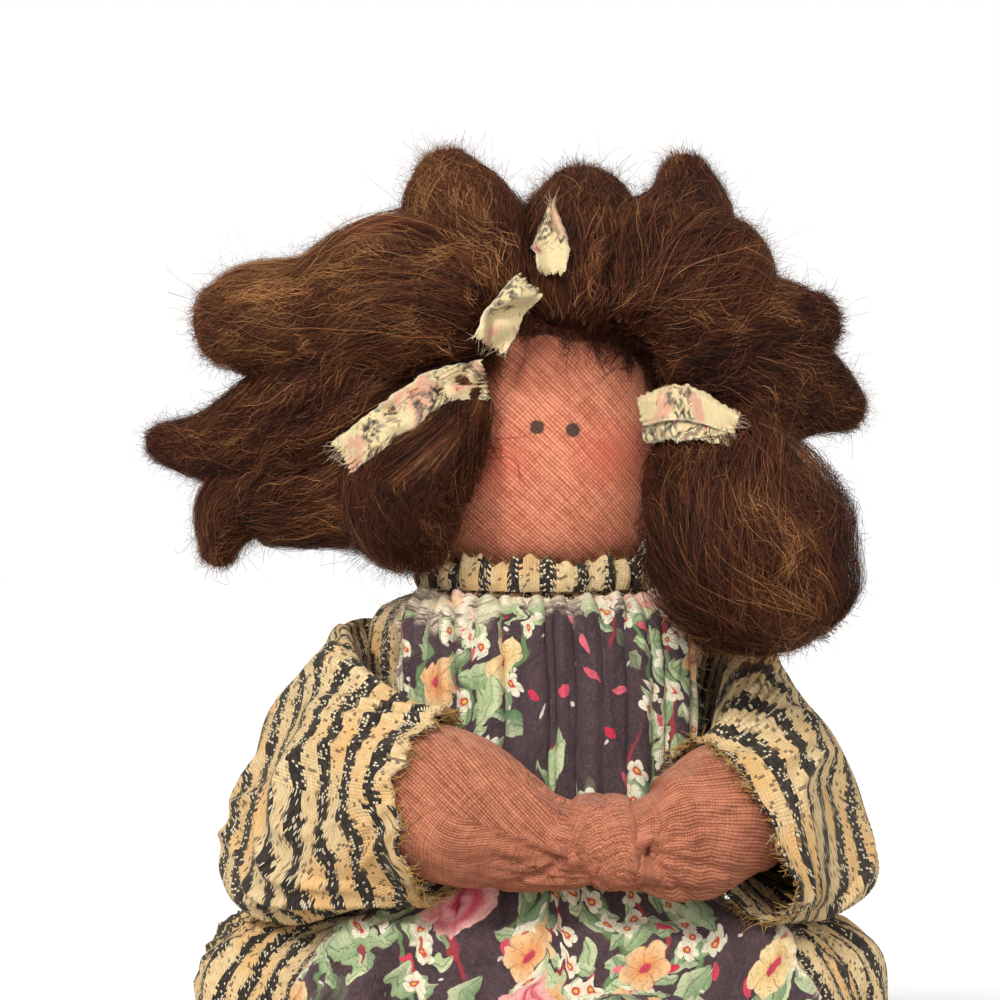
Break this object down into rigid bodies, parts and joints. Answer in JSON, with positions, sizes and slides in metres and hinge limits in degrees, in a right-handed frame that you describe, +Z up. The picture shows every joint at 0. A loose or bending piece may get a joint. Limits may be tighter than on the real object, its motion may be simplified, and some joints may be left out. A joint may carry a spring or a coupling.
{
  "type": "rag doll",
  "caption": "Seated stuffed cloth doll with bunched roving hair and torn ties, striped dress, gathered apron, and arms knotted together in front.",
  "frame": {"origin": "on the floor, under the middle of the whole doll's box", "axes": "+Z up, the doll faces -Y with its legs straight out towards -Y, +X to the right as seen from the front"},
  "size_m": [0.1524, 0.2286, 0.2022],
  "materials": {
    "brown_muslin": "coarse woven muslin dyed brown",
    "stuffing": "loose fibre filling",
    "striped_cotton": "black and tan striped woven cotton",
    "plum_print_cotton": "dark cotton with a small floral print",
    "roving_hair": "fine wavy unspun fibre",
    "cream_print_cotton": "cream cotton, faint print, torn edges"
  },
  "bodies": {
    "torso": {"torso_front": "brown_muslin", "torso_back": "brown_muslin", "torso_stuffing": "stuffing", "dress_front": "striped_cotton", "dress_back": "striped_cotton", "collar_frill": "striped_cotton", "apron": "plum_print_cotton"},
    "neck": {"neck": "brown_muslin"},
    "head": {"head_front": "brown_muslin", "head_back": "brown_muslin", "head_stuffing": "stuffing", "hair_lower_right": "roving_hair", "hair_left_cheek": "roving_hair", "hair_left_point": "roving_hair", "hair_lower_left": "roving_hair", "hair_upper_left": "roving_hair", "hair_crown_left": "roving_hair", "hair_crown_middle": "roving_hair", "hair_crown_right": "roving_hair", "hair_upper_right": "roving_hair", "hair_right_lobe": "roving_hair", "hair_right_point": "roving_hair", "hair_top_left": "roving_hair", "hair_back_top": "roving_hair", "hair_back_right": "roving_hair", "hair_back_left": "roving_hair", "hair_back_low": "roving_hair", "tie_top": "cream_print_cotton", "tie_upper_left": "cream_print_cotton", "tie_left": "cream_print_cotton", "tie_right": "cream_print_cotton"},
    "arms": {"sleeve_left": "striped_cotton", "sleeve_right": "striped_cotton", "arm_left": "brown_muslin", "arm_right": "brown_muslin", "hand_knot": "brown_muslin"},
    "leg_left": {"leg_left": "brown_muslin"},
    "leg_right": {"leg_right": "brown_muslin"}
  },
  "joints": [
    {"name": "neck_turn", "type": "hinge", "parent": "torso", "child": "neck", "pos_m": [0.0042, 0.06211, 0.1063], "axis": [0, 0, 1], "range_deg": [-12, 12]},
    {"name": "head_nod", "type": "hinge", "parent": "neck", "child": "head", "pos_m": [0.0042, 0.06211, 0.112], "axis": [1, 0, 0], "range_deg": [-7, 5]},
    {"name": "arms_lift", "type": "hinge", "parent": "torso", "child": "arms", "pos_m": [0.0042, 0.06211, 0.088], "axis": [-1, 0, 0], "range_deg": [0, 10]},
    {"name": "hip_left", "type": "hinge", "parent": "torso", "child": "leg_left", "pos_m": [-0.0113, 0.03424, 0.012], "axis": [1, 0, 0], "range_deg": [0, 90]},
    {"name": "hip_right", "type": "hinge", "parent": "torso", "child": "leg_right", "pos_m": [0.0197, 0.03424, 0.012], "axis": [1, 0, 0], "range_deg": [0, 90]}
  ]
}
